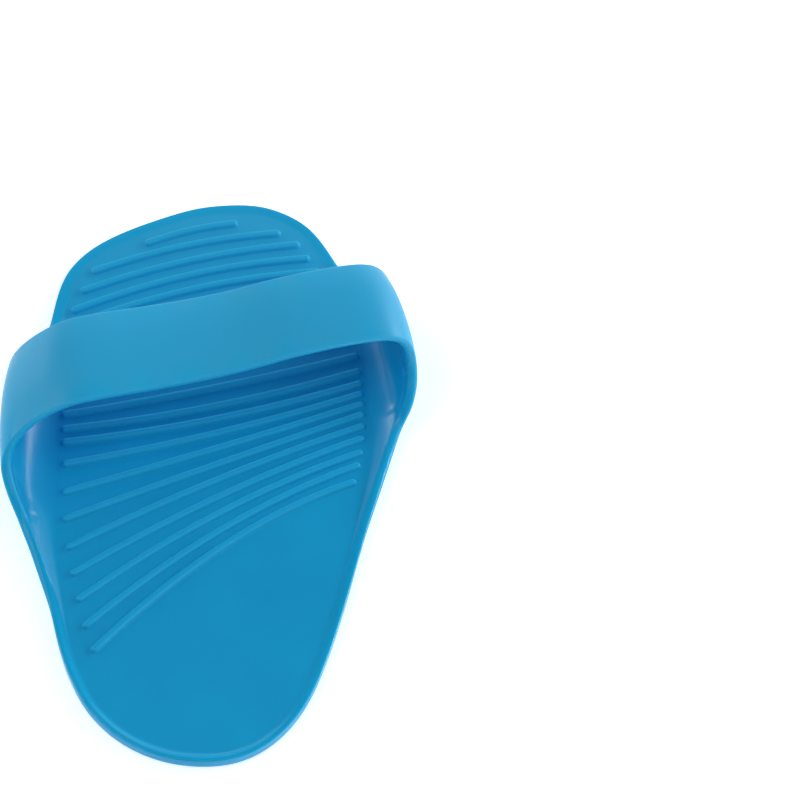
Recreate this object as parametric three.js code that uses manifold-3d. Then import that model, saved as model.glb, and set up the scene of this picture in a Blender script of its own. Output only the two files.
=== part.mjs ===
// Grip pad for lifting, worn on the left palm: one soft moulded shell.
// Millimetres, +Z up. The fingers point along +Y, the thumb side is +X,
// and the pad lies on its flat underside with the origin below its middle.
import * as THREE from 'three';
import { mergeVertices } from 'three/addons/utils/BufferGeometryUtils.js';
import Module from 'manifold-3d';

// Driving dimensions
const WALL = 2.6;
const FLOOR_HALF_WIDTH = 40;
const TIP_LENGTH = 82.6;
const HEEL_LENGTH = 78.4;
const RIM_REACH = 0.5;
const RIM_RISE = 0.8;
const SIDE_REACH = 11.6;
const SIDE_RISE = 12.4;
const ARCH_RISE = 13.1;
const STRAP_WIDTH = 23.2;
const STRAP_MIDDLE = 26.3;
const STRAP_SLANT = 0.2476;
const STRAP_TAPER = 3;
const STRAP_FLARE = 4;
const STRAP_TURN = 3;
const RIB_WIDTH = 2.2;
const RIB_HEIGHT = 1;
const RIB_ROOT = 0.4;
const PAD_COLOR = 0x1f95c8;

// Fineness of the surfaces
const STEPS_PER_ROW = 4;
const WALL_STEPS = 6;
const ARCH_STEPS = 36;
const RIB_STEPS = 12;
const RIB_SIDES = 6;

// The foot line is where the flat floor starts to roll up into the side walls.
// across: share of the floor's half width, positive on the thumb side.
// along: 0 at the corner of the strap, 1 at the end of the tip or the heel.
// reach and rise: how far out and up the wall rolls, 0 at the low rim and 1 under the strap.
const TIP_THUMB_SIDE = [
  { across: 0.10, along: 1.005, reach: 0, rise: 0 },
  { across: 0.29, along: 1.003, reach: 0, rise: 0 },
  { across: 0.435, along: 0.945, reach: 0, rise: 0 },
  { across: 0.585, along: 0.825, reach: 0, rise: 0 },
  { across: 0.705, along: 0.60, reach: 0, rise: 0 },
  { across: 0.785, along: 0.385, reach: 0.03, rise: 0.05 },
  { across: 0.89, along: 0.17, reach: 0.20, rise: 0.35 },
];
const HEEL_THUMB_SIDE = [
  { across: 1.015, along: 0.033, reach: 0.74, rise: 0.70 },
  { across: 1.012, along: 0.053, reach: 0.64, rise: 0.38 },
  { across: 1.01, along: 0.088, reach: 0.47, rise: 0.20 },
  { across: 1.00, along: 0.172, reach: 0.23, rise: 0.135 },
  { across: 0.96, along: 0.274, reach: 0.085, rise: 0.088 },
  { across: 0.89, along: 0.39, reach: 0.01, rise: 0.04 },
  { across: 0.80, along: 0.53, reach: 0, rise: 0 },
  { across: 0.72, along: 0.645, reach: 0, rise: 0 },
  { across: 0.625, along: 0.76, reach: 0, rise: 0 },
  { across: 0.515, along: 0.86, reach: 0, rise: 0 },
  { across: 0.36, along: 0.94, reach: 0, rise: 0 },
  { across: 0.17, along: 0.988, reach: 0, rise: 0 },
  { across: -0.04, along: 1.00, reach: 0, rise: 0 },
];
const HEEL_OUTER_SIDE = [
  { across: -0.27, along: 0.979, reach: 0, rise: 0 },
  { across: -0.49, along: 0.92, reach: 0, rise: 0 },
  { across: -0.67, along: 0.827, reach: 0, rise: 0 },
  { across: -0.78, along: 0.718, reach: 0, rise: 0 },
  { across: -0.855, along: 0.60, reach: 0, rise: 0 },
  { across: -0.90, along: 0.47, reach: 0.01, rise: 0.03 },
  { across: -0.925, along: 0.353, reach: 0.15, rise: 0.095 },
  { across: -0.945, along: 0.211, reach: 0.44, rise: 0.17 },
  { across: -0.95, along: 0.137, reach: 0.61, rise: 0.276 },
  { across: -0.955, along: 0.077, reach: 0.75, rise: 0.483 },
];
const TIP_OUTER_SIDE = [
  { across: -0.95, along: 0.15, reach: 0.50, rise: 0.50 },
  { across: -0.94, along: 0.31, reach: 0.10, rise: 0.12 },
  { across: -0.93, along: 0.46, reach: 0.01, rise: 0.02 },
  { across: -0.90, along: 0.58, reach: 0, rise: 0 },
  { across: -0.84, along: 0.68, reach: 0, rise: 0 },
  { across: -0.71, along: 0.78, reach: 0, rise: 0 },
  { across: -0.52, along: 0.862, reach: 0, rise: 0 },
  { across: -0.29, along: 0.933, reach: 0, rise: 0 },
  { across: -0.08, along: 0.985, reach: 0, rise: 0 },
];

// Under the strap the walls stand upright at mid-height. front: 0 at the strap's
// edge towards the finger tips, 1 at its edge towards the heel.
const THUMB_WALL = [
  { front: 0, across: 0.955, reach: 0.50 },
  { front: 0.5, across: 0.99, reach: 0.69 },
  { front: 1, across: 1.01, reach: 0.89 },
];
const OUTER_WALL = [
  { front: 1, across: -0.975, reach: 0.99 },
  { front: 0.5, across: -0.975, reach: 0.965 },
  { front: 0, across: -0.96, reach: 0.98 },
];

// The strap from wall to wall: across -1 to 1, height as a share of the arch's rise.
const ARCH = [
  { across: -1, height: 0 },
  { across: -0.985, height: 0.22 },
  { across: -0.93, height: 0.46 },
  { across: -0.83, height: 0.72 },
  { across: -0.70, height: 0.95 },
  { across: -0.54, height: 0.96 },
  { across: -0.35, height: 0.90 },
  { across: -0.10, height: 0.845 },
  { across: 0.17, height: 0.86 },
  { across: 0.38, height: 0.965 },
  { across: 0.56, height: 1.00 },
  { across: 0.73, height: 0.985 },
  { across: 0.86, height: 0.92 },
  { across: 0.942, height: 0.74 },
  { across: 0.985, height: 0.39 },
  { across: 1, height: 0 },
];
const FLARE_FADE = 0.8;

// Raised ribs inside, from the outer end to the thumb end, in shares of the floor's
// half width and of the tip or heel length; bulge bends the middle towards the tip.
const TIP_RIBS = [
  { from: [-0.43, 0.887], to: [0.18, 0.969], bulge: 0.013 },
  { from: [-0.775, 0.779], to: [0.46, 0.931], bulge: 0.026 },
  { from: [-0.845, 0.704], to: [0.585, 0.887], bulge: 0.029 },
  { from: [-0.90, 0.63], to: [0.68, 0.836], bulge: 0.037 },
  { from: [-0.93, 0.571], to: [0.72, 0.784], bulge: 0.037 },
];
const PALM_RIBS = [
  { from: [-0.95, 0.245], to: [0.96, 0.465], bulge: -0.013 },
  { from: [-0.95, 0.193], to: [0.975, 0.406], bulge: -0.026 },
  { from: [-0.945, 0.145], to: [0.98, 0.36], bulge: -0.026 },
  { from: [-0.94, 0.065], to: [0.985, 0.32], bulge: -0.02 },
  { from: [-0.935, -0.04], to: [0.99, 0.278], bulge: -0.005 },
  { from: [-0.93, -0.142], to: [0.99, 0.244], bulge: 0.004 },
  { from: [-0.905, -0.249], to: [0.99, 0.198], bulge: 0.023 },
  { from: [-0.875, -0.347], to: [0.985, 0.153], bulge: 0.031 },
  { from: [-0.835, -0.444], to: [0.975, 0.099], bulge: 0.048 },
  { from: [-0.79, -0.542], to: [0.96, 0.049], bulge: 0.059 },
  { from: [-0.735, -0.631], to: [0.925, -0.014], bulge: 0.075 },
];
const HIDDEN_RIBS = 4;

const lerp = THREE.MathUtils.lerp;

// Where the strap's two edges meet the walls
const strapEdge = (side, front) =>
  STRAP_MIDDLE
  + STRAP_SLANT * side * (FLOOR_HALF_WIDTH + SIDE_REACH)
  + lerp(1, -1, front) * (STRAP_WIDTH - side * STRAP_TAPER / 2) / 2
  - front * STRAP_FLARE;

// Rim rows in millimetres, clockwise from the tip as seen from above
function rimRows() {
  const run = (rows, side, front, end) =>
    rows.map((row) => ({
      x: row.across * FLOOR_HALF_WIDTH,
      y: lerp(strapEdge(side, front), end, row.along),
      reach: lerp(RIM_REACH, SIDE_REACH, row.reach),
      rise: lerp(RIM_RISE, SIDE_RISE, row.rise),
    }));
  const wall = (rows, side) =>
    rows.map((row) => ({
      x: row.across * FLOOR_HALF_WIDTH,
      y: strapEdge(side, row.front),
      reach: lerp(RIM_REACH, SIDE_REACH, row.reach),
      rise: SIDE_RISE,
    }));
  return [
    run(TIP_THUMB_SIDE, 1, 0, TIP_LENGTH),
    wall(THUMB_WALL, 1),
    run(HEEL_THUMB_SIDE, 1, 1, -HEEL_LENGTH),
    run(HEEL_OUTER_SIDE, -1, 1, -HEEL_LENGTH),
    wall(OUTER_WALL, -1),
    run(TIP_OUTER_SIDE, -1, 0, TIP_LENGTH),
  ].flat();
}

// Stations along the rim, each with its place, outward direction and wall profile
function rimStations() {
  const rows = rimRows();
  const foot = new THREE.CatmullRomCurve3(rows.map((row) => new THREE.Vector3(row.x, row.y, 0)), true);
  const roll = new THREE.CatmullRomCurve3(
    rows.map((row) => new THREE.Vector3(row.reach, row.rise, 0)), true, 'catmullrom', 0.5);
  const count = rows.length * STEPS_PER_ROW;
  return Array.from({ length: count }, (_, i) => {
    const place = foot.getPoint(i / count);
    const tangent = foot.getTangent(i / count);
    const size = roll.getPoint(i / count);
    return {
      place,
      outward: new THREE.Vector3(-tangent.y, tangent.x, 0),
      reach: size.x,
      rise: Math.min(size.y, SIDE_RISE),
    };
  });
}

// One wall profile: a quarter ellipse from the flat floor to upright
function wallProfile(station) {
  return Array.from({ length: WALL_STEPS + 1 }, (_, k) => {
    const turn = (k / WALL_STEPS) * Math.PI / 2;
    const inner = station.place.clone()
      .addScaledVector(station.outward, station.reach * Math.sin(turn))
      .setZ(WALL + station.rise * (1 - Math.cos(turn)));
    const away = station.outward.clone()
      .multiplyScalar(station.rise * Math.sin(turn))
      .setZ(-station.reach * Math.cos(turn))
      .normalize();
    return { inner, away };
  });
}

// One line over the strap, from the thumb wall to the outer wall, ends left out
function strapLine(thumbTop, outerTop, front) {
  const arch = new THREE.CatmullRomCurve3(
    ARCH.map((row) => new THREE.Vector3(row.across, row.height, 0)).reverse());
  return Array.from({ length: ARCH_STEPS - 1 }, (_, m) => {
    const share = arch.getPoint((m + 1) / ARCH_STEPS);
    const fade = 1 - (1 - Math.min(1, share.y / FLARE_FADE)) ** 2;
    const turn = STRAP_TURN * (1 - share.x) / 2;
    return outerTop.clone()
      .lerp(thumbTop, (1 + share.x) / 2)
      .add(new THREE.Vector3(0, (STRAP_FLARE * front + turn) * fade, ARCH_RISE * share.y));
  });
}

// The inner face of the shell as points, with the direction to its outer face
function padSheet() {
  const points = [];
  const away = [];
  const faces = [];
  const put = (point, direction) => {
    points.push(point);
    away.push(direction);
    return points.length - 1;
  };
  const quad = (a, b, c, d) => faces.push([a, b, c], [a, c, d]);

  const stations = rimStations();
  const grid = stations.map((station) => wallProfile(station).map((p) => put(p.inner, p.away)));
  grid.forEach((line, i) => {
    const next = grid[(i + 1) % grid.length];
    for (let k = 0; k < WALL_STEPS; k += 1) {
      quad(line[k], next[k], next[k + 1], line[k + 1]);
    }
  });

  const floor = THREE.ShapeUtils.triangulateShape(
    stations.map((station) => new THREE.Vector2(station.place.x, station.place.y)), []);
  floor.forEach(([a, b, c]) => faces.push([grid[a][0], grid[b][0], grid[c][0]]));

  const thumbStart = TIP_THUMB_SIDE.length * STEPS_PER_ROW;
  const outerStart = thumbStart + (THUMB_WALL.length + HEEL_THUMB_SIDE.length + HEEL_OUTER_SIDE.length)
    * STEPS_PER_ROW;
  const bandSteps = (THUMB_WALL.length - 1) * STEPS_PER_ROW;
  const lines = Array.from({ length: bandSteps + 1 }, (_, j) => {
    const thumbTop = grid[thumbStart + j][WALL_STEPS];
    const outerTop = grid[outerStart + bandSteps - j][WALL_STEPS];
    const arch = strapLine(points[thumbTop], points[outerTop], j / bandSteps);
    return [thumbTop, ...arch.map((point) => put(point, new THREE.Vector3())), outerTop];
  });
  for (let j = 0; j < bandSteps; j += 1) {
    for (let m = 0; m < ARCH_STEPS; m += 1) {
      quad(lines[j][m], lines[j + 1][m], lines[j + 1][m + 1], lines[j][m + 1]);
    }
  }
  lines.forEach((line, j) => {
    const before = lines[Math.max(j - 1, 0)];
    const after = lines[Math.min(j + 1, bandSteps)];
    for (let m = 1; m < ARCH_STEPS; m += 1) {
      const over = points[line[m + 1]].clone().sub(points[line[m - 1]]);
      const wide = points[after[m]].clone().sub(points[before[m]]);
      away[line[m]].crossVectors(over, wide).normalize();
    }
  });
  return { points, away, faces };
}

// A sheet given its wall thickness, closed along its free edges
function shell({ points, away, faces }) {
  const outer = points.map((point, i) => point.clone().addScaledVector(away[i], WALL));
  const shift = points.length;
  const triangles = faces.flatMap(([a, b, c]) => [[a, b, c], [c + shift, b + shift, a + shift]]);
  const edges = new Set(faces.flatMap(([a, b, c]) => [`${a} ${b}`, `${b} ${c}`, `${c} ${a}`]));
  edges.forEach((edge) => {
    const [a, b] = edge.split(' ').map(Number);
    if (!edges.has(`${b} ${a}`)) {
      triangles.push([b, a, a + shift], [b, a + shift, b + shift]);
    }
  });
  return { points: [...points, ...outer], triangles };
}

// A rib: a low rounded bar on a bent line, with round ends, rooted in the floor
function rib({ from, to, bulge }) {
  const lengthOf = (share) => share * (share < 0 ? HEEL_LENGTH : TIP_LENGTH);
  const start = new THREE.Vector3(from[0] * FLOOR_HALF_WIDTH, lengthOf(from[1]), WALL);
  const end = new THREE.Vector3(to[0] * FLOOR_HALF_WIDTH, lengthOf(to[1]), WALL);
  const middle = start.clone().lerp(end, 0.5).setY((start.y + end.y) / 2 + 2 * bulge * TIP_LENGTH);
  const line = new THREE.QuadraticBezierCurve3(start, middle, end);
  const length = line.getLength();
  const points = [];
  const triangles = [];
  for (let i = 0; i <= RIB_STEPS; i += 1) {
    const share = (1 - Math.cos((i / RIB_STEPS) * Math.PI)) / 2;
    const fromEnd = Math.min(share, 1 - share) * length;
    const size = Math.sqrt(1 - (1 - Math.min(1, (fromEnd + RIB_ROOT) / RIB_WIDTH)) ** 2);
    const centre = line.getPointAt(share);
    const tangent = line.getTangentAt(share);
    const side = new THREE.Vector3(tangent.y, -tangent.x, 0);
    for (let s = 0; s <= RIB_SIDES; s += 1) {
      const angle = (s / RIB_SIDES) * Math.PI;
      points.push(centre.clone()
        .addScaledVector(side, Math.cos(angle) * size * RIB_WIDTH / 2)
        .setZ(WALL + Math.sin(angle) * size * RIB_HEIGHT));
    }
    points.push(centre.clone().setZ(WALL - RIB_ROOT));
  }
  const ring = RIB_SIDES + 2;
  for (let i = 0; i < RIB_STEPS; i += 1) {
    for (let s = 0; s < ring; s += 1) {
      const a = i * ring + s;
      const b = i * ring + (s + 1) % ring;
      triangles.push([a, a + ring, b + ring], [a, b + ring, b]);
    }
  }
  const last = RIB_STEPS * ring;
  for (let s = 1; s < ring - 1; s += 1) {
    triangles.push([0, s, s + 1], [last, last + s + 1, last + s]);
  }
  return { points, triangles };
}

// The ribs under the strap, evenly spread between the last tip rib and the first palm rib
function hiddenRibs() {
  const tip = TIP_RIBS[TIP_RIBS.length - 1];
  const palm = PALM_RIBS[0];
  return Array.from({ length: HIDDEN_RIBS }, (_, i) => {
    const share = (i + 1) / (HIDDEN_RIBS + 1);
    const between = (a, b) => [lerp(a[0], b[0], share), lerp(a[1], b[1], share)];
    return {
      from: between(tip.from, palm.from),
      to: between(tip.to, palm.to),
      bulge: lerp(tip.bulge, palm.bulge, share),
    };
  });
}

const wasm = await Module();
wasm.setup();

// A closed body from points and triangles, ready to be joined
function solid({ points, triangles }) {
  const raw = new THREE.BufferGeometry().setFromPoints(points);
  raw.setIndex(triangles.flat());
  const merged = mergeVertices(raw);
  return new wasm.Manifold(new wasm.Mesh({
    numProp: 3,
    vertProperties: new Float32Array(merged.attributes.position.array),
    triVerts: new Uint32Array(merged.index.array),
  }));
}

function padGeometry() {
  const ribs = [...TIP_RIBS, ...hiddenRibs(), ...PALM_RIBS].map((row) => solid(rib(row)));
  const joined = ribs.reduce((body, bar) => body.add(bar), solid(shell(padSheet())));
  const mesh = joined.getMesh();
  const geometry = new THREE.BufferGeometry();
  geometry.setAttribute('position', new THREE.BufferAttribute(mesh.vertProperties, 3));
  geometry.setIndex(new THREE.BufferAttribute(mesh.triVerts, 1));
  geometry.computeBoundingBox();
  const middle = geometry.boundingBox.getCenter(new THREE.Vector3());
  geometry.translate(-middle.x, -middle.y, -geometry.boundingBox.min.z);
  geometry.computeVertexNormals();
  return geometry;
}

const pad = new THREE.Mesh(
  padGeometry(),
  new THREE.MeshStandardMaterial({ color: PAD_COLOR, roughness: 0.35, metalness: 0 }),
);
pad.name = 'grip_pad';

const gripPad = new THREE.Group();
gripPad.add(pad);

export default gripPad;
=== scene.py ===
import math

import bmesh
import bpy
import numpy as np
from mathutils import Matrix, Vector


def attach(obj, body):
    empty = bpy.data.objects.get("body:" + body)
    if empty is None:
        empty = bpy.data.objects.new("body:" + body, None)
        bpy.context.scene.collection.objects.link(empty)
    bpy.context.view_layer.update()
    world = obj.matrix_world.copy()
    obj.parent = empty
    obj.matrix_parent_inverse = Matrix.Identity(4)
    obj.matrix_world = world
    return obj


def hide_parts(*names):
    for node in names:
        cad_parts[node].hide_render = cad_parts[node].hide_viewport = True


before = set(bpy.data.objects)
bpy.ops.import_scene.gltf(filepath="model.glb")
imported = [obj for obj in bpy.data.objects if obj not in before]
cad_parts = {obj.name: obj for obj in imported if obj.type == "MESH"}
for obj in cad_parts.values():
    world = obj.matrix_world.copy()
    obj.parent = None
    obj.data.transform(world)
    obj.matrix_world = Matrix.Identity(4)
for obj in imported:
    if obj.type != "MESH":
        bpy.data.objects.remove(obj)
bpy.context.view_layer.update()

# Sizes of the pad, in metres. The fingers point along +Y, the thumb side is +X. A reach is how far the
# rim or a wall leans out past the floor, a rise is how far it stands above the floor.
WALL = 0.0026
FLOOR_HALF_WIDTH = 0.040
TIP_LENGTH = 0.0826
HEEL_LENGTH = 0.0784
RIM_REACH = 0.0005
RIM_RISE = 0.0008
TIP_RIM_RISE = 0.0003
SIDE_REACH = 0.0116
SIDE_RISE = 0.0124
ARCH_RISE = 0.0131
STRAP_WIDTH = 0.0232
STRAP_MIDDLE = 0.0263
# The strap moves towards the tips by STRAP_SLANT of its way to the thumb side. STRAP_TAPER is how much
# wider its outer end is, STRAP_FLARE is how far its heel-side edge spreads at the walls, and STRAP_TURN
# is how far its outer end turns towards the tips over the fingers.
STRAP_SLANT = 0.2476
STRAP_TAPER = 0.003
STRAP_FLARE = 0.004
STRAP_TURN = 0.003
RIB_WIDTH = 0.0022
RIB_HEIGHT = 0.0011
LIP_HEIGHT = 0.0008
# Where the rim is too low for the whole lip, the lip takes this share of the rise
LIP_SHARE = 0.55
# Edge loops this far inside the foot line keep the floor flat up to its edge
FLOOR_HEMS = (0.00025, 0.00075)
# The middle of the pad's length and width, in the measure of the tables below
PAD_MIDDLE = (-0.00008, 0.0021)

# Sides of the pad and edges of the strap
THUMB_SIDE = 1
OUTER_SIDE = -1
TIP_EDGE = 0
HEEL_EDGE = 1

# How finely the cage is cut before it is smoothed
STEPS_PER_ROW = 2
WALL_STEPS = 6
ARCH_STEPS_PER_ROW = 2
RIB_STEPS = 30
RIB_END_STEPS = 8
SMOOTHING = 2
RIM_SOFTENING = 2
LIP_SOFTENING = 6
# Points closer than this are the same point
MERGE_DISTANCE = 1e-6

# The foot line, where the flat floor starts to roll up into the side walls.
# across: share of the floor's half width, positive on the thumb side.
# along: 0 at the corner of the strap, 1 at the end of the tip or the heel.
# reach and rise: how far out and up the wall rolls, 0 at the low rim, 1 under the strap.
# Columns: across, along, reach, rise
TIP_THUMB_SIDE = (
    (0.10, 1.005, 0, 0),
    (0.29, 1.003, 0, 0),
    (0.435, 0.945, 0, 0),
    (0.585, 0.825, 0, 0),
    (0.705, 0.60, 0, 0),
    (0.785, 0.385, 0.03, 0.05),
    (0.89, 0.17, 0.20, 0.35),
)
HEEL_THUMB_SIDE = (
    (1.015, 0.040, 0.74, 0.70),
    (1.012, 0.060, 0.64, 0.38),
    (1.01, 0.095, 0.47, 0.20),
    (1.00, 0.178, 0.23, 0.135),
    (0.96, 0.279, 0.085, 0.088),
    (0.89, 0.39, 0.01, 0.04),
    (0.80, 0.53, 0, 0),
    (0.72, 0.641, 0, 0),
    (0.625, 0.754, 0, 0),
    (0.515, 0.852, 0, 0),
    (0.36, 0.93, 0, 0),
    (0.17, 0.977, 0, 0),
    (-0.04, 0.989, 0, 0),
)
HEEL_OUTER_SIDE = (
    (-0.27, 0.968, 0, 0),
    (-0.49, 0.912, 0, 0),
    (-0.67, 0.82, 0, 0),
    (-0.78, 0.712, 0, 0),
    (-0.855, 0.596, 0, 0),
    (-0.90, 0.47, 0.01, 0.03),
    (-0.925, 0.36, 0.15, 0.095),
    (-0.945, 0.22, 0.44, 0.17),
    (-0.95, 0.146, 0.61, 0.276),
    (-0.955, 0.087, 0.75, 0.483),
)
TIP_OUTER_SIDE = (
    (-0.95, 0.15, 0.50, 0.50),
    (-0.94, 0.31, 0.10, 0.12),
    (-0.93, 0.46, 0.01, 0.02),
    (-0.90, 0.58, 0, 0),
    (-0.84, 0.68, 0, 0),
    (-0.71, 0.78, 0, 0),
    (-0.52, 0.862, 0, 0),
    (-0.29, 0.933, 0, 0),
    (-0.08, 0.985, 0, 0),
)

# The walls under the strap. front: 0 at the strap's edge towards the finger tips, 1 towards the heel.
# Columns: front, across, reach
THUMB_WALL = ((0, 0.955, 0.50), (0.5, 0.99, 0.69), (1, 1.01, 0.89))
OUTER_WALL = ((1, -0.975, 0.99), (0.5, -0.975, 0.965), (0, -0.96, 0.98))

# The strap from the outer wall to the thumb wall, its height as a share of the arch's rise.
# Columns: across, height
ARCH = (
    (-1, 0),
    (-0.985, 0.22),
    (-0.93, 0.46),
    (-0.83, 0.72),
    (-0.7, 0.95),
    (-0.54, 0.96),
    (-0.35, 0.9),
    (-0.1, 0.845),
    (0.17, 0.86),
    (0.38, 0.965),
    (0.56, 1.00),
    (0.73, 0.985),
    (0.86, 0.92),
    (0.942, 0.74),
    (0.985, 0.39),
    (1, 0),
)
# At this share of the arch's rise the strap has left the flare of the walls behind
FLARE_FADE = 0.8

# The lip that closes the free edge: across is 0 on the inner face and 1 on the outer face, height is a
# share of the lip's height. On the walls both corners are rounded, on the low rim only the outer one.
# Columns: across, height
WALL_LIP = (
    (0.04, 0.30),
    (0.13, 0.59),
    (0.27, 0.83),
    (0.43, 0.96),
    (0.59, 0.98),
    (0.75, 0.88),
    (0.89, 0.63),
    (0.97, 0.32),
)
RIM_LIP = (
    (0.12, 0.12),
    (0.26, 0.33),
    (0.42, 0.63),
    (0.56, 0.90),
    (0.68, 1.00),
    (0.80, 0.93),
    (0.91, 0.70),
    (0.975, 0.36),
)

# The low rim's outer side, from the foot line to the lip. out: share of the rim's width, up: share of
# its height. The low rim's inner curve keeps RIM_SOFTNESS of its height, and at RIM_FADE of the full
# rise the rim has turned into a wall.
# Columns: out, up
RIM_OUTER = ((0, 0), (0.36, 0), (0.68, 0), (0.89, 0.01), (0.975, 0.10), (1, 0.38), (1, 1))
RIM_SOFTNESS = 0.15
RIM_FADE = 0.08
# The inner face of a low wall leans outward: its height at each step of the foot's curve, as a share
# of the rise. The lean fades out between two shares of the full rise.
LEANING_FACE = (0, 0.03, 0.33, 0.60, 0.81, 0.95, 1)
LEAN_FADE = (0.2, 0.7)

# Raised ribs. Each end is a pair: across, then the share of the tip length or, below 0, of the heel
# length. bulge bends the middle towards the tips.
# Columns: outer end, thumb end, bulge
TIP_RIBS = (
    ((-0.43, 0.887), (0.18, 0.969), 0.013),
    ((-0.775, 0.779), (0.46, 0.931), 0.026),
    ((-0.845, 0.704), (0.585, 0.887), 0.029),
    ((-0.90, 0.63), (0.65, 0.834), 0.037),
    ((-0.905, 0.575), (0.71, 0.783), 0.037),
)
PALM_RIBS = (
    ((-0.95, 0.245), (0.955, 0.467), -0.013),
    ((-0.95, 0.193), (0.968, 0.410), -0.026),
    ((-0.945, 0.145), (0.975, 0.364), -0.026),
    ((-0.94, 0.065), (0.98, 0.326), -0.02),
    ((-0.935, -0.04), (0.985, 0.288), -0.005),
    ((-0.93, -0.142), (0.985, 0.250), 0.004),
    ((-0.905, -0.249), (0.985, 0.207), 0.023),
    ((-0.875, -0.347), (0.98, 0.163), 0.031),
    ((-0.835, -0.444), (0.97, 0.111), 0.048),
    ((-0.79, -0.542), (0.95, 0.064), 0.059),
    ((-0.735, -0.631), (0.92, 0.004), 0.075),
)
HIDDEN_RIBS = 4

# Half of a rib's section. out: share of its half width, up: share of its height. The first
# RIB_FOOT_RINGS steps are the rib's foot, which looks like the floor.
RIB_FOOT_RINGS = 2
# Columns: out, up
RIB_SECTION = (
    (1.20, 0),
    (1.12, 0.012),
    (1.04, 0.08),
    (0.975, 0.22),
    (0.90, 0.45),
    (0.77, 0.69),
    (0.59, 0.87),
    (0.33, 0.97),
    (0, 1.00),
)

# The photograph's view: 800 by 800 pixels, the pad's origin lands on AIM_PIXEL. Distances are in
# metres, the sensor's width is in millimetres.
FRAME_PIXELS = 800
AIM_PIXEL = (210.0, 481.5)
CAMERA_DISTANCE = 1.2
CAMERA_TILT = math.radians(58)
FOCAL_PIXELS = 4732
SENSOR_WIDTH = 36.0
NEAREST_IN_VIEW = 0.05
FARTHEST_IN_VIEW = 20

# The light table
TABLE_SIZE = 12
TABLE_WHITE = (0.9, 0.9, 0.9, 1)
TABLE_ROUGHNESS = 0.7
TABLE_SPECULAR = 0.2
TABLE_GLOW = 0.5

# Brightness of the light tent: rise is the height of a direction, 0 at the horizon and 1 overhead.
# Columns: rise, brightness
TENT = ((0.0, 0.9), (0.04, 0.65), (0.12, 0.28), (0.45, 0.21), (0.78, 0.12))
# Softboxes at LAMP_DISTANCE. bearing: degrees from straight behind the pad, positive to the right,
# height: degrees above the table. width and length are in metres.
LAMP_DISTANCE = 1.45
# Columns: name, bearing, height, width, length, brightness
SOFTBOXES = (
    ("left_high_softbox", -95, 52, 1.1, 0.8, 1.75),
    ("front_high_softbox", -165, 72, 1.7, 1.0, 0.62),
    ("right_softbox", 98, 15, 1.7, 0.75, 1.5),
    ("right_high_softbox", 105, 46, 0.9, 0.6, 0.85),
    ("back_softbox", 5, 16, 1.8, 0.6, 0.75),
    ("left_corner_softbox", -51, 15, 0.26, 0.46, 5.5),
    ("right_corner_softbox", 54, 19, 0.42, 0.66, 6.0),
    ("left_edge_softbox", -77, 22, 0.16, 0.3, 7.0),
    ("right_edge_softbox", 76, 22, 0.18, 0.3, 13.0),
)

# The rubber's own blue, the lighter blue of the painted glow on its thin edges and the paler blue of the
# painted sheen
RUBBER_BLUE = (0.0025, 0.375, 0.72, 1)
PAINTED_GLOW_BLUE = (0.008, 0.45, 0.80, 1)
PAINTED_SHEEN_BLUE = (0.028, 0.425, 0.75, 1)
RUBBER_SPECULAR = 0.3
# Light that sinks into the rubber: its share, how far each colour goes, and the depth in metres
GLOW_THROUGH = 0.2
GLOW_COLOUR_REACH = (0.2, 0.7, 1.0)
GLOW_DEPTH = 0.0015
# How much of the painted glow blue the lip and the ribs take
LIP_GLOW_PAINT = 0.5
RIB_GLOW_PAINT = 0.6
# Where each zone starts and where it is full, in metres: the strap and the floor by height, the tips
# along the pad
STRAP_ZONE = (0.012, 0.024)
FLOOR_ZONE = (0.0048, 0.0034)
TIP_ZONE = (0.03, 0.085)
# How each kind of skin changes the roughness
SKIN_CHANGES = (("Textured", 0.22), ("Handled", 0.2), ("Streaked", 0.07), ("Polished", -0.08))
# The streaks' noise is drawn out along the pad and up the wall, and shows between two of its values
STREAK_STRETCH = (1, 0.08, 0.3)
STREAK_LIMITS = (0.35, 0.7)
# How far the flow of the pigment moves the hue and the brightness
HUE_SWAY = -0.12
BRIGHTNESS_SWAY = 2


def lerp(a, b, share):
    """The value that lies the given share of the way from a to b."""
    return a + (b - a) * share


def add_material(name):
    """An empty node material with a Principled shader, and its nodes and links."""
    material = bpy.data.materials.new(name)
    material.use_nodes = True
    return material, material.node_tree.nodes, material.node_tree.links


# Shared helpers for modelling in edit mode


def start_ring(name, points):
    """Adds a circle, opens it in edit mode and moves its vertices to the points."""
    bpy.ops.object.select_all(action="DESELECT")
    bpy.ops.mesh.primitive_circle_add(vertices=len(points), radius=FLOOR_HALF_WIDTH, fill_type="NOTHING")
    piece = bpy.context.object
    piece.name = name
    piece.data.name = name
    bpy.ops.object.mode_set(mode="EDIT")
    mesh = bmesh.from_edit_mesh(piece.data)
    for vertex, point in zip(mesh.verts, points):
        vertex.co = point
    bmesh.update_edit_mesh(piece.data)
    return piece


def select_vertices(piece, wanted):
    """Selects the vertices whose places lie on the wanted points, and the edges between them."""
    bpy.ops.mesh.select_all(action="DESELECT")
    mesh = bmesh.from_edit_mesh(piece.data)
    places = np.array([vertex.co for vertex in mesh.verts])
    for point in wanted:
        nearest = int(np.argmin(((places - point) ** 2).sum(axis=1)))
        mesh.verts.ensure_lookup_table()
        mesh.verts[nearest].select = True
    mesh.select_flush_mode()
    bmesh.update_edit_mesh(piece.data)


def move_selected(piece, start, goal):
    """Moves each selected vertex from its place in start to the same place in goal."""
    mesh = bmesh.from_edit_mesh(piece.data)
    start = np.asarray(start)
    for vertex in mesh.verts:
        if vertex.select:
            nearest = int(np.argmin(((start - np.array(vertex.co)) ** 2).sum(axis=1)))
            vertex.co = goal[nearest]
    bmesh.update_edit_mesh(piece.data)


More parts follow.
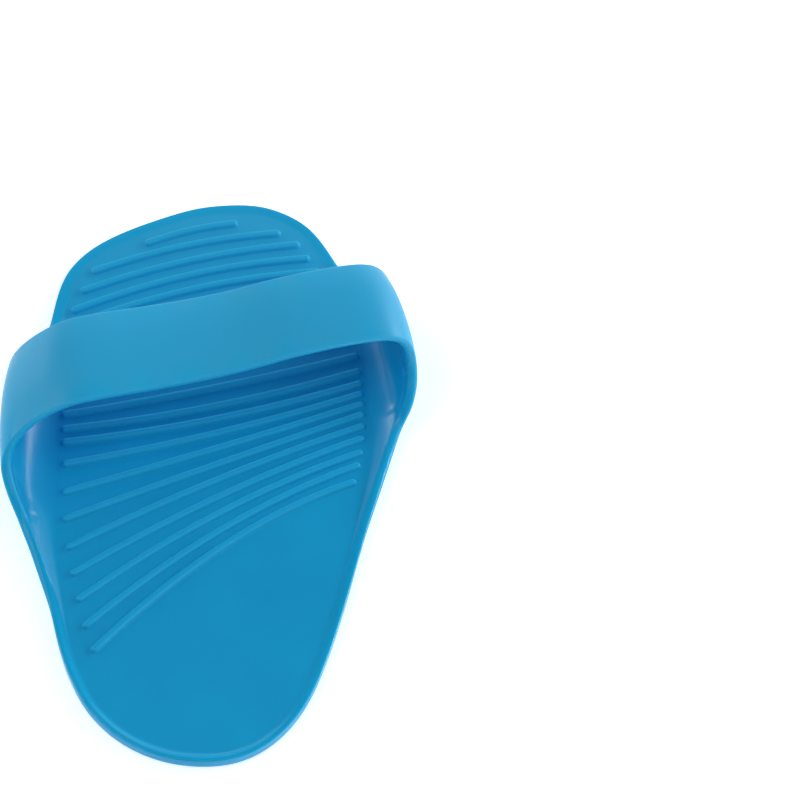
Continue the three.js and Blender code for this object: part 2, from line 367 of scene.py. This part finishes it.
def mark_selected(group_name):
    """Puts the selected vertices in a vertex group with full weight."""
    bpy.ops.object.vertex_group_set_active(group=group_name)
    bpy.context.scene.tool_settings.vertex_group_weight = 1
    bpy.ops.object.vertex_group_assign()


def extrude_along(piece, lines, group_name=None):
    """Extrudes the edges on the first line of points to each next line, and marks the new vertices."""
    select_vertices(piece, lines[0])
    for start, goal in zip(lines, lines[1:]):
        bpy.ops.mesh.extrude_edges_move(TRANSFORM_OT_translate={"value": (0, 0, 0)})
        move_selected(piece, start, goal)
        if group_name:
            mark_selected(group_name)


def merge_doubles():
    """Joins the vertices that lie on each other."""
    bpy.ops.mesh.select_all(action="SELECT")
    bpy.ops.mesh.remove_doubles(threshold=MERGE_DISTANCE)


def apply_modifier(piece, kind, **settings):
    """Adds one modifier to the piece and applies it, in object mode."""
    modifier = piece.modifiers.new(kind.lower(), kind)
    for name, value in settings.items():
        setattr(modifier, name, value)
    bpy.context.view_layer.objects.active = piece
    bpy.ops.object.modifier_apply(modifier=modifier.name)


def smooth_line(points, steps, closed):
    """A centripetal curve through the points, with some steps from each to the next."""
    points = np.asarray(points, float)
    if closed:
        padded = np.vstack([points[-1:], points, points[:2]])
    else:
        padded = np.vstack([2 * points[0] - points[1], points, 2 * points[-1] - points[-2]])
    line = []
    for a, b, c, d in zip(padded, padded[1:], padded[2:], padded[3:]):
        pairs = ((a, b), (b, c), (c, d))
        before, here, after = (math.sqrt(np.linalg.norm(q - p)) for p, q in pairs)
        leave = ((b - a) / before - (c - a) / (before + here) + (c - b) / here) * here
        arrive = ((c - b) / here - (d - b) / (here + after) + (d - c) / after) * here
        for t in np.arange(steps) / steps:
            line.append(
                (2 * t**3 - 3 * t**2 + 1) * b
                + (t**3 - 2 * t**2 + t) * leave
                + (3 * t**2 - 2 * t**3) * c
                + (t**3 - t**2) * arrive
            )
    if not closed:
        line.append(points[-1])
    return np.array(line)


# The shell: floor, rim, side walls and strap


def soften(values, times):
    """Averages each row of a closed line with its two neighbours, some times."""
    for _ in range(times):
        values = (np.roll(values, 1, axis=0) + 2 * values + np.roll(values, -1, axis=0)) / 4
    return values


def strap_edge(side, front):
    """Where the strap's sheet meets the wall on one side, along Y."""
    width = STRAP_WIDTH - side * STRAP_TAPER / 2 - 2 * LIP_HEIGHT
    return (
        STRAP_MIDDLE
        + STRAP_SLANT * side * (FLOOR_HALF_WIDTH + SIDE_REACH)
        + lerp(1, -1, front) * width / 2
        - front * STRAP_FLARE
    )


def free_rim_rows(table, side, edge, end, rim_rise):
    """Rows of the rim from an edge of the strap to the end of the tip or the heel."""
    rows = []
    for across, along, reach, rise in table:
        full_rise = lerp(rim_rise, SIDE_RISE, rise)
        rows.append((
            across * FLOOR_HALF_WIDTH,
            lerp(strap_edge(side, edge), end, along),
            lerp(RIM_REACH, SIDE_REACH, reach),
            full_rise - min(LIP_HEIGHT, LIP_SHARE * full_rise),
            min(1, rise / RIM_FADE),
        ))
    return rows


def strap_wall_rows(table, side):
    """Rows of the wall under one end of the strap."""
    rows = []
    for front, across, reach in table:
        reach = lerp(RIM_REACH, SIDE_REACH, reach)
        rows.append((across * FLOOR_HALF_WIDTH, strap_edge(side, front), reach, SIDE_RISE, 1))
    return rows


def rim_rows():
    """Foot line, reach, rise and wall share of each row, clockwise from the tip as seen from above."""
    return np.array([
        *free_rim_rows(TIP_THUMB_SIDE, THUMB_SIDE, TIP_EDGE, TIP_LENGTH, TIP_RIM_RISE),
        *strap_wall_rows(THUMB_WALL, THUMB_SIDE),
        *free_rim_rows(HEEL_THUMB_SIDE, THUMB_SIDE, HEEL_EDGE, -HEEL_LENGTH, RIM_RISE),
        *free_rim_rows(HEEL_OUTER_SIDE, OUTER_SIDE, HEEL_EDGE, -HEEL_LENGTH, RIM_RISE),
        *strap_wall_rows(OUTER_WALL, OUTER_SIDE),
        *free_rim_rows(TIP_OUTER_SIDE, OUTER_SIDE, TIP_EDGE, TIP_LENGTH, TIP_RIM_RISE),
    ])


def rim_stations():
    """The rows refined: place on the foot line, outward direction, then reach, rise and wall share."""
    rows = rim_rows()
    place = smooth_line(rows[:, :2], STEPS_PER_ROW, closed=True)
    share = np.arange(len(place)) / STEPS_PER_ROW
    wrapped = np.vstack([rows[:, 2:], rows[:1, 2:]])
    sizes = np.array([np.interp(share, np.arange(len(wrapped)), column) for column in wrapped.T]).T
    sizes = soften(sizes, RIM_SOFTENING)
    tangent = np.roll(place, -1, axis=0) - np.roll(place, 1, axis=0)
    tangent /= np.linalg.norm(tangent, axis=1)[:, None]
    outward = np.column_stack([-tangent[:, 1], tangent[:, 0]])
    return place, outward, sizes


def wall_rings(place, outward, sizes):
    """Rings of points from the foot line up the inner face of the wall."""
    rings = []
    for k in range(WALL_STEPS + 1):
        turn = k / WALL_STEPS * math.pi / 2
        flat = place + outward * (sizes[:, :1] * math.sin(turn))
        height = WALL + sizes[:, 1] * (1 - math.cos(turn))
        rings.append(np.column_stack([flat, height]))
    return rings


def strap_lines(thumb_tops, outer_tops):
    """Lines of points across the strap, from the thumb wall to the outer wall."""
    arch = smooth_line(ARCH, ARCH_STEPS_PER_ROW, closed=False)[::-1]
    fronts = np.linspace(0, 1, len(thumb_tops))
    lines = []
    for across, height in arch:
        fade = 1 - (1 - min(1.0, max(0.0, height) / FLARE_FADE)) ** 2
        line = lerp(outer_tops, thumb_tops, (1 + across) / 2)
        line = line + np.column_stack([
            np.zeros(len(fronts)),
            (STRAP_FLARE * fronts + STRAP_TURN * (1 - across) / 2) * fade,
            np.full(len(fronts), ARCH_RISE * height),
        ])
        lines.append(line)
    return lines


def model_sheet():
    """The inner face of the shell as an open sheet, its normals towards the hand."""
    place, outward, sizes = rim_stations()
    rings = wall_rings(place, outward, sizes)
    piece = start_ring("moulded_shell", rings[0])
    extrude_along(piece, rings)

    # The strap joins the tops of the two walls
    band = STEPS_PER_ROW * (len(THUMB_WALL) - 1) + 1
    thumb_start = STEPS_PER_ROW * len(TIP_THUMB_SIDE)
    rows_between = len(THUMB_WALL) + len(HEEL_THUMB_SIDE) + len(HEEL_OUTER_SIDE)
    outer_start = thumb_start + STEPS_PER_ROW * rows_between
    thumb_tops = rings[-1][thumb_start:thumb_start + band]
    outer_tops = rings[-1][outer_start:outer_start + band][::-1]
    extrude_along(piece, strap_lines(thumb_tops, outer_tops))

    hems = [rings[0] - np.column_stack([outward * inset, np.zeros(len(place))]) for inset in FLOOR_HEMS]
    extrude_along(piece, [rings[0], *hems])
    bpy.ops.mesh.edge_face_add()
    merge_doubles()
    bpy.ops.mesh.normals_make_consistent(inside=False)
    mesh = bmesh.from_edit_mesh(piece.data)
    floor_face = max(mesh.faces, key=lambda face: len(face.verts))
    if floor_face.normal.z < 0:
        bpy.ops.mesh.flip_normals()
    bpy.ops.object.mode_set(mode="OBJECT")
    return piece


def free_loops(mesh):
    """The open edges of a mesh as loops of vertices, each in the order of its edges."""
    following = {}
    for edge in mesh.edges:
        if len(edge.link_faces) == 1:
            loop = edge.link_loops[0]
            following[loop.vert] = loop.link_loop_next.vert
    loops = []
    while following:
        loop = list(following.popitem())
        while loop[-1] in following:
            loop.append(following.pop(loop[-1]))
        loops.append(loop[:-1])
    return loops


def square_rim(mesh, inner_count):
    """Sinks the low rim's inner step, squares its outer side and leans the low walls outward."""
    place, outward, sizes = rim_stations()
    inner_places = np.array([vertex.co for vertex in mesh.verts[:inner_count]])
    for ring, (out, up), leaning in zip(wall_rings(place, outward, sizes), RIM_OUTER, LEANING_FACE):
        for point, start, away, (reach, rise, wall_share) in zip(ring, place, outward, sizes):
            inner = mesh.verts[int(np.argmin(((inner_places - point) ** 2).sum(axis=1)))]
            if wall_share < 1:
                outer = mesh.verts[inner.index + inner_count]
                square = Vector((*(start + away * out * (reach + WALL)), up * (WALL + rise)))
                outer.co = square.lerp(outer.co, wall_share)
            lean = np.interp(rise / SIDE_RISE, LEAN_FADE, (1, 0))
            height = lerp((point[2] - WALL) / rise, leaning, lean)
            inner.co.z = WALL + rise * height * lerp(RIM_SOFTNESS, 1, wall_share)


def lip_lines(inner, outer):
    """Lines of points over the lip, from the wall's inner corner to its outer corner."""
    along = np.roll(inner, -1, axis=0) - np.roll(inner, 1, axis=0)
    crest = soften(np.cross(outer - inner, along), LIP_SOFTENING)
    crest /= np.linalg.norm(crest, axis=1)[:, None]
    rim_lip = LIP_SHARE * RIM_RISE
    heights = np.clip((outer[:, 2:] - WALL) * LIP_SHARE / (1 - LIP_SHARE), 0, LIP_HEIGHT)
    wall_share = np.clip((heights - rim_lip) / (LIP_HEIGHT - rim_lip), 0, 1)
    lines = [inner]
    for rim, wall in zip(np.array(RIM_LIP), np.array(WALL_LIP)):
        across, height = (lerp(rim[i], wall[i], wall_share) for i in (0, 1))
        lines.append(lerp(inner, outer, across) + crest * heights * height)
    lines.append(outer)
    return lines


def close_lips(piece):
    """Gives the sheet its wall and closes the free edges with a lip."""
    inner_count = len(piece.data.vertices)
    apply_modifier(piece, "SOLIDIFY", thickness=WALL, offset=-1, use_rim=False, use_even_offset=True)
    piece.vertex_groups.new(name="lip")
    bpy.ops.object.mode_set(mode="EDIT")
    mesh = bmesh.from_edit_mesh(piece.data)
    mesh.verts.ensure_lookup_table()
    square_rim(mesh, inner_count)
    bmesh.update_edit_mesh(piece.data)
    edges = []
    for loop in free_loops(mesh):
        if loop[0].index < inner_count:
            inner = np.array([vertex.co for vertex in loop])
            outer = np.array([mesh.verts[vertex.index + inner_count].co for vertex in loop])
            edges.append(lip_lines(inner, outer))
    for lines in edges:
        extrude_along(piece, lines, "lip")
    merge_doubles()
    bpy.ops.object.mode_set(mode="OBJECT")


# The ribs


def rib_line(start, end, bulge, share):
    """A point on a rib's middle line and the direction along it."""
    middle = (start + end) / 2 + np.array([0, 2 * bulge * TIP_LENGTH])
    point = (1 - share) ** 2 * start + 2 * share * (1 - share) * middle + share**2 * end
    tangent = 2 * (1 - share) * (middle - start) + 2 * share * (end - middle)
    tangent /= np.linalg.norm(tangent)
    return point, tangent


def turned_left(direction):
    """A flat direction turned left by a quarter."""
    return np.array([-direction[1], direction[0]])


def rib_end(point, tangent, out):
    """The half circle round one end of a rib's middle line, from its left to its right."""
    angles = np.arange(1, RIB_END_STEPS) / RIB_END_STEPS * math.pi
    left = turned_left(tangent)
    return [point + out * (math.cos(angle) * left + math.sin(angle) * tangent) for angle in angles]


def rib_ring(start, end, bulge, out):
    """One closed ring round the rib's middle line, at a distance out from it."""
    trim = RIB_WIDTH / 2 / np.linalg.norm(end - start)
    shares = np.linspace(trim, 1 - trim, RIB_STEPS + 1)
    line = [rib_line(start, end, bulge, share) for share in shares]
    left = [point + out * turned_left(tangent) for point, tangent in line]
    right = [point - out * turned_left(tangent) for point, tangent in line]
    far_end = rib_end(*line[-1], out)
    near_end = rib_end(line[0][0], -line[0][1], out)
    return np.array(left + far_end + right[::-1] + near_end)


def model_rib(row):
    """One rib as a low rounded strip with a flat collar in the floor's plane."""
    *ends, bulge = row
    start, end = (
        np.array([across * FLOOR_HALF_WIDTH, along * (HEEL_LENGTH if along < 0 else TIP_LENGTH)])
        for across, along in ends
    )
    rings = []
    for out, up in RIB_SECTION:
        ring = rib_ring(start, end, bulge, out * RIB_WIDTH / 2)
        rings.append(np.column_stack([ring, np.full(len(ring), WALL + up * RIB_HEIGHT)]))
    piece = start_ring("rib", rings[0])
    piece.vertex_groups.new(name="rib")
    extrude_along(piece, rings[:RIB_FOOT_RINGS + 1])
    extrude_along(piece, rings[RIB_FOOT_RINGS:], "rib")
    merge_doubles()
    bpy.ops.object.mode_set(mode="OBJECT")
    return piece


def hidden_ribs():
    """The ribs under the strap, evenly spread between the last tip rib and the first palm rib."""
    *tip_ends, tip_bulge = TIP_RIBS[-1]
    *palm_ends, palm_bulge = PALM_RIBS[0]
    rows = []
    for share in np.arange(1, HIDDEN_RIBS + 1) / (HIDDEN_RIBS + 1):
        ends = [lerp(np.array(tip), np.array(palm), share) for tip, palm in zip(tip_ends, palm_ends)]
        rows.append((*ends, lerp(tip_bulge, palm_bulge, share)))
    return rows


def keep_group_as_attribute(piece, name):
    """Stores a vertex group's weights as an attribute that the material can read."""
    index = piece.vertex_groups[name].index
    weights = [
        max([entry.weight for entry in vertex.groups if entry.group == index], default=0)
        for vertex in piece.data.vertices
    ]
    attribute = piece.data.attributes.new(name + "_share", "FLOAT", "POINT")
    attribute.data.foreach_set("value", weights)


def open_floor(shell):
    """Takes away the flat top of the floor, to make room for the ribs and their collars."""
    bpy.ops.object.mode_set(mode="EDIT")
    bpy.ops.mesh.select_all(action="DESELECT")
    mesh = bmesh.from_edit_mesh(shell.data)
    for face in mesh.faces:
        flat = all(abs(vertex.co.z - WALL) < MERGE_DISTANCE for vertex in face.verts)
        if flat and face.normal.z > 0:
            face.select = True
    bmesh.update_edit_mesh(shell.data)
    bpy.ops.mesh.delete(type="FACE")
    bpy.ops.object.mode_set(mode="OBJECT")


def join_ribs(shell, ribs):
    """Makes the ribs a part of the shell's mesh."""
    bpy.ops.object.select_all(action="DESELECT")
    for piece in (*ribs, shell):
        piece.select_set(True)
    bpy.context.view_layer.objects.active = shell
    bpy.ops.object.join()


def fill_floor(shell):
    """Fills the floor again, between the rim and the ribs' collars."""
    bpy.ops.object.mode_set(mode="EDIT")
    bpy.ops.mesh.select_mode(type="EDGE")
    bpy.ops.mesh.select_all(action="DESELECT")
    mesh = bmesh.from_edit_mesh(shell.data)
    for edge in mesh.edges:
        edge.select = edge.is_boundary
    bmesh.update_edit_mesh(shell.data)
    bpy.ops.mesh.fill(use_beauty=True)
    bpy.ops.mesh.select_all(action="SELECT")
    bpy.ops.mesh.normals_make_consistent(inside=False)
    bpy.ops.mesh.select_mode(type="VERT")
    bpy.ops.object.mode_set(mode="OBJECT")


def model_pad():
    """The whole pad: smoothed shell with the ribs grown out of its floor."""
    shell = model_sheet()
    close_lips(shell)
    apply_modifier(shell, "SUBSURF", levels=SMOOTHING, render_levels=SMOOTHING)
    open_floor(shell)
    join_ribs(shell, [model_rib(row) for row in (*TIP_RIBS, *hidden_ribs(), *PALM_RIBS)])
    fill_floor(shell)
    bpy.ops.object.shade_smooth()
    shell.data.transform(Matrix.Translation((-PAD_MIDDLE[0], -PAD_MIDDLE[1], 0)))
    keep_group_as_attribute(shell, "lip")
    keep_group_as_attribute(shell, "rib")
    shell.name = "moulded_pad"
    shell.data.name = "moulded_pad"
    return shell


# The rubber's colour and skin


def add_effect(name, inputs, output):
    """A node group for one effect, with its input and output nodes. Each input is a socket's name and
    value: a place has three parts and a colour has four."""
    group = bpy.data.node_groups.new(name, "ShaderNodeTree")
    kinds = {3: "NodeSocketVector", 4: "NodeSocketColor"}
    for label, value in inputs:
        kind = kinds[len(value)] if isinstance(value, tuple) else "NodeSocketFloat"
        socket = group.interface.new_socket(label, in_out="INPUT", socket_type=kind)
        socket.default_value = value
    kind = "NodeSocketColor" if output == "Color" else "NodeSocketFloat"
    group.interface.new_socket(output, in_out="OUTPUT", socket_type=kind)
    return group, group.nodes.new("NodeGroupInput"), group.nodes.new("NodeGroupOutput")


def add_maths(tree, operation, first, second=0.0):
    """A maths node: first and second are sockets or numbers."""
    node = tree.nodes.new("ShaderNodeMath")
    node.operation = operation
    for socket, value in zip(node.inputs, (first, second)):
        if isinstance(value, (int, float)):
            socket.default_value = value
        else:
            tree.links.new(value, socket)
    return node.outputs[0]


def add_noise(tree, place, patch_size, detail, stretch=None):
    """Cloudy noise from 0 to 1, its patches of a size in metres and, if asked for, drawn out."""
    if stretch:
        mapping = tree.nodes.new("ShaderNodeMapping")
        mapping.inputs["Scale"].default_value = stretch
        tree.links.new(place, mapping.inputs["Vector"])
        place = mapping.outputs[0]
    noise = tree.nodes.new("ShaderNodeTexNoise")
    noise.inputs["Detail"].default_value = detail
    tree.links.new(place, noise.inputs["Vector"])
    tree.links.new(add_maths(tree, "DIVIDE", 1.0, patch_size), noise.inputs["Scale"])
    return noise.outputs["Fac"]


def moulded_skin():
    """Height of the mould's fine grain and of the slow swell of a soft casting, in metres."""
    group, given, result = add_effect("moulded_skin", (
        ("Place", (0, 0, 0)),
        ("Grain Size", 0.0006),
        ("Grain Depth", 0.000003),
        ("Swell Size", 0.012),
        ("Swell Depth", 0.00004),
    ), "Height")
    grain = add_noise(group, given.outputs["Place"], given.outputs["Grain Size"], detail=3)
    swell = add_noise(group, given.outputs["Place"], given.outputs["Swell Size"], detail=1)
    height = add_maths(
        group, "ADD",
        add_maths(group, "MULTIPLY", grain, given.outputs["Grain Depth"]),
        add_maths(group, "MULTIPLY", swell, given.outputs["Swell Depth"]))
    group.links.new(height, result.inputs["Height"])
    return group


def colour_flow():
    """The rubber's colour with the faint light and dark flow of the pigment."""
    group, given, result = add_effect("colour_flow", (
        ("Place", (0, 0, 0)),
        ("Color", (0, 0.25, 0.5, 1)),
        ("Patch Size", 0.02),
        ("Strength", 0.06),
    ), "Color")
    cloud = add_noise(group, given.outputs["Place"], given.outputs["Patch Size"], detail=4)
    sway = add_maths(group, "SUBTRACT", cloud, 0.5)
    sway = add_maths(group, "MULTIPLY", sway, given.outputs["Strength"])
    shade = group.nodes.new("ShaderNodeHueSaturation")
    for label, unchanged, strength in (("Hue", 0.5, HUE_SWAY), ("Value", 1.0, BRIGHTNESS_SWAY)):
        moved = add_maths(group, "ADD", unchanged, add_maths(group, "MULTIPLY", sway, strength))
        group.links.new(moved, shade.inputs[label])
    group.links.new(given.outputs["Color"], shade.inputs["Color"])
    group.links.new(shade.outputs[0], result.inputs["Color"])
    return group


def add_limits(tree, value, low, high):
    """The share of the way from low to high that a value has come, kept from 0 to 1."""
    way, span = add_maths(tree, "SUBTRACT", value, low), add_maths(tree, "SUBTRACT", high, low)
    share = add_maths(tree, "DIVIDE", way, span)
    return add_maths(tree, "MINIMUM", add_maths(tree, "MAXIMUM", share, 0.0), 1.0)


def zone_mask():
    """Mask of one end of the pad: it grows along a direction, from 0 at From to 1 at To."""
    group, given, result = add_effect("zone_mask", (
        ("Place", (0, 0, 0)),
        ("Direction", (0, 0, 1)),
        ("From", 0.0),
        ("To", 1.0),
    ), "Mask")
    way = group.nodes.new("ShaderNodeVectorMath")
    way.operation = "DOT_PRODUCT"
    group.links.new(given.outputs["Place"], way.inputs[0])
    group.links.new(given.outputs["Direction"], way.inputs[1])
    mask = add_limits(group, way.outputs["Value"], given.outputs["From"], given.outputs["To"])
    group.links.new(mask, result.inputs["Mask"])
    return group


def draw_streaks():
    """Mask of the fine streaks on the side walls, where the pad was pulled from its mould."""
    group, given, result = add_effect("draw_streaks", (
        ("Place", (0, 0, 0)),
        ("Streak Width", 0.0009),
        ("Wall Start", 0.038),
        ("Wall End", 0.044),
    ), "Mask")
    place, width = given.outputs["Place"], given.outputs["Streak Width"]
    streak = add_noise(group, place, width, detail=2, stretch=STREAK_STRETCH)
    parts = group.nodes.new("ShaderNodeSeparateXYZ")
    group.links.new(place, parts.inputs[0])
    aside = add_maths(group, "ABSOLUTE", parts.outputs["X"])
    wall = add_limits(group, aside, given.outputs["Wall Start"], given.outputs["Wall End"])
    mask = add_maths(group, "MULTIPLY", add_limits(group, streak, *STREAK_LIMITS), wall)
    group.links.new(mask, result.inputs["Mask"])
    return group


def gloss_variation():
    """Roughness of the skin: patchy, matt on a textured mould, smoother on a polished one."""
    group, given, result = add_effect("gloss_variation", (
        ("Place", (0, 0, 0)),
        ("Roughness", 0.2),
        ("Patchiness", 0.08),
        ("Patch Size", 0.014),
        ("Textured", 0.0),
        ("Handled", 0.0),
        ("Streaked", 0.0),
        ("Polished", 0.0),
    ), "Roughness")
    cloud = add_noise(group, given.outputs["Place"], given.outputs["Patch Size"], detail=3)
    sway = add_maths(group, "SUBTRACT", cloud, 0.5)
    patchy = add_maths(group, "MULTIPLY", sway, given.outputs["Patchiness"])
    roughness = add_maths(group, "ADD", given.outputs["Roughness"], patchy)
    for label, strength in SKIN_CHANGES:
        change = add_maths(group, "MULTIPLY", given.outputs[label], strength)
        roughness = add_maths(group, "ADD", roughness, change)
    group.links.new(roughness, result.inputs["Roughness"])
    return group


def second_blue():
    """Colour that turns to a second blue, for the painted sheen and for the painted glow of thin edges."""
    group, given, result = add_effect("second_blue", (
        ("Color", (0, 0.25, 0.5, 1)),
        ("Second Color", (0, 0.35, 0.6, 1)),
        ("Share", 0.0),
    ), "Color")
    mix = group.nodes.new("ShaderNodeMix")
    mix.data_type = "RGBA"
    group.links.new(given.outputs["Share"], mix.inputs["Factor"])
    group.links.new(given.outputs["Color"], mix.inputs["A"])
    group.links.new(given.outputs["Second Color"], mix.inputs["B"])
    group.links.new(mix.outputs["Result"], result.inputs["Color"])
    return group


def use_effect(material, group, **links):
    """Places a node group in the material: each link is a socket or a value."""
    node = material.node_tree.nodes.new("ShaderNodeGroup")
    node.node_tree = group
    for name, value in links.items():
        socket = node.inputs[name.replace("_", " ")]
        if isinstance(value, bpy.types.NodeSocket):
            material.node_tree.links.new(value, socket)
        else:
            socket.default_value = value
    return node.outputs[0]


def read_share(nodes, name):
    """The values of one of the piece's own attributes."""
    attribute = nodes.new("ShaderNodeAttribute")
    attribute.attribute_name = name
    return attribute.outputs["Fac"]


def soft_rubber():
    """Semi-gloss blue rubber: textured floor, streaked walls, polished lip, painted sheen and painted
    glow.
    """
    material, nodes, links = add_material("soft_blue_rubber")
    shader = nodes["Principled BSDF"]
    place = nodes.new("ShaderNodeTexCoord").outputs["Object"]
    lip, rib = read_share(nodes, "lip_share"), read_share(nodes, "rib_share")
    tree = material.node_tree
    tint, zone = second_blue(), zone_mask()

    upward, to_tips = (0, 0, 1), (0, 1, 0)
    strap = use_effect(material, zone, Place=place, Direction=upward, From=STRAP_ZONE[0], To=STRAP_ZONE[1])
    tips = use_effect(material, zone, Place=place, Direction=to_tips, From=TIP_ZONE[0], To=TIP_ZONE[1])
    floor = use_effect(material, zone, Place=place, Direction=upward, From=FLOOR_ZONE[0], To=FLOOR_ZONE[1])

    colour = use_effect(material, colour_flow(), Place=place, Color=RUBBER_BLUE)
    # Painted sheen: the strap and the tips take a paler blue, as if lit more brightly than the floor
    painted_sheen = add_maths(tree, "MAXIMUM", strap, tips)
    colour = use_effect(material, tint, Color=colour, Second_Color=PAINTED_SHEEN_BLUE, Share=painted_sheen)
    # Painted glow: the lip and the ribs take a lighter blue for light that shines through thin rubber and
    # catches the ribs
    lip_glow_paint = add_maths(tree, "MULTIPLY", lip, LIP_GLOW_PAINT)
    rib_glow_paint = add_maths(tree, "MULTIPLY", rib, RIB_GLOW_PAINT)
    glow_paint = add_maths(tree, "ADD", lip_glow_paint, rib_glow_paint)
    colour = use_effect(material, tint, Color=colour, Second_Color=PAINTED_GLOW_BLUE, Share=glow_paint)
    links.new(colour, shader.inputs["Base Color"])

    textured = add_maths(tree, "MULTIPLY", floor, add_maths(tree, "SUBTRACT", 1.0, lip))
    streaks = use_effect(material, draw_streaks(), Place=place)
    gloss = use_effect(
        material, gloss_variation(), Place=place,
        Textured=textured, Handled=strap, Streaked=streaks, Polished=lip)
    links.new(gloss, shader.inputs["Roughness"])

    # The skin's height is in metres, so the bump takes it as it is
    bump = nodes.new("ShaderNodeBump")
    bump.inputs["Distance"].default_value = 1
    links.new(use_effect(material, moulded_skin(), Place=place), bump.inputs["Height"])
    links.new(bump.outputs["Normal"], shader.inputs["Normal"])

    shader.inputs["Specular IOR Level"].default_value = RUBBER_SPECULAR
    shader.inputs["Subsurface Weight"].default_value = GLOW_THROUGH
    shader.inputs["Subsurface Radius"].default_value = GLOW_COLOUR_REACH
    shader.inputs["Subsurface Scale"].default_value = GLOW_DEPTH
    return material


# Table, lights and camera


def add_table():
    """A large white table that glows a little, so that shadows stay pale."""
    bpy.ops.object.select_all(action="DESELECT")
    bpy.ops.mesh.primitive_plane_add(size=TABLE_SIZE)
    table = bpy.context.object
    table.name = "light_table"
    material, nodes, _ = add_material("white_light_table")
    shader = nodes["Principled BSDF"]
    shader.inputs["Base Color"].default_value = TABLE_WHITE
    shader.inputs["Roughness"].default_value = TABLE_ROUGHNESS
    shader.inputs["Specular IOR Level"].default_value = TABLE_SPECULAR
    shader.inputs["Emission Color"].default_value = (1, 1, 1, 1)
    shader.inputs["Emission Strength"].default_value = TABLE_GLOW
    table.data.materials.append(material)


def add_softbox(name, bearing, height, width, length, brightness):
    """A rectangular soft light that faces the pad."""
    bearing, height = math.radians(bearing), math.radians(height)
    level = math.cos(height)
    direction = Vector((level * math.sin(bearing), level * math.cos(bearing), math.sin(height)))
    place = direction * LAMP_DISTANCE
    bpy.ops.object.light_add(type="AREA", location=place)
    lamp = bpy.context.object
    lamp.name = name
    lamp.data.shape = "RECTANGLE"
    lamp.data.size, lamp.data.size_y = width, length
    lamp.data.energy = brightness * math.pi * width * length
    lamp.rotation_euler = (-place).to_track_quat("-Z", "Y").to_euler()


def add_tent():
    """The light tent's walls: bright near the floor and dark overhead."""
    world = bpy.data.worlds.new("light_tent")
    bpy.context.scene.world = world
    world.use_nodes = True
    tree = world.node_tree
    way = tree.nodes.new("ShaderNodeTexCoord").outputs["Generated"]
    parts = tree.nodes.new("ShaderNodeSeparateXYZ")
    tree.links.new(way, parts.inputs[0])
    ramp = tree.nodes.new("ShaderNodeValToRGB")
    for _ in TENT[2:]:
        ramp.color_ramp.elements.new(0.5)
    for element, (rise, brightness) in zip(ramp.color_ramp.elements, TENT):
        element.position = rise
        element.color = (brightness, brightness, brightness, 1)
    tree.links.new(parts.outputs["Z"], ramp.inputs[0])
    tree.links.new(ramp.outputs[0], tree.nodes["Background"].inputs["Color"])


def add_lights():
    """The light tent and the softboxes round the pad."""
    add_tent()
    for row in SOFTBOXES:
        add_softbox(*row)


def add_camera():
    """The photograph's view, turned so that the pad's origin lands on its pixel."""
    bpy.ops.object.camera_add()
    camera = bpy.context.object
    camera.data.lens = FOCAL_PIXELS / FRAME_PIXELS * SENSOR_WIDTH
    camera.data.sensor_width = SENSOR_WIDTH
    place = Vector((0, -math.cos(CAMERA_TILT), math.sin(CAMERA_TILT))) * CAMERA_DISTANCE
    look = (-place).to_track_quat("-Z", "Y")
    middle = FRAME_PIXELS / 2
    aim = Vector(((AIM_PIXEL[0] - middle) / FOCAL_PIXELS, (middle - AIM_PIXEL[1]) / FOCAL_PIXELS, -1))
    turn = aim.rotation_difference(Vector((0, 0, -1)))
    camera.rotation_mode = "QUATERNION"
    camera.rotation_quaternion = look @ turn
    camera.location = place
    camera.data.clip_start = NEAREST_IN_VIEW
    camera.data.clip_end = FARTHEST_IN_VIEW
    bpy.context.scene.camera = camera


add_camera()
add_lights()
add_table()
bpy.context.scene.view_settings.view_transform = "Standard"

pad = model_pad()
pad.data.materials.clear()
pad.data.materials.append(soft_rubber())
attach(pad, "root")
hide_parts("grip_pad")
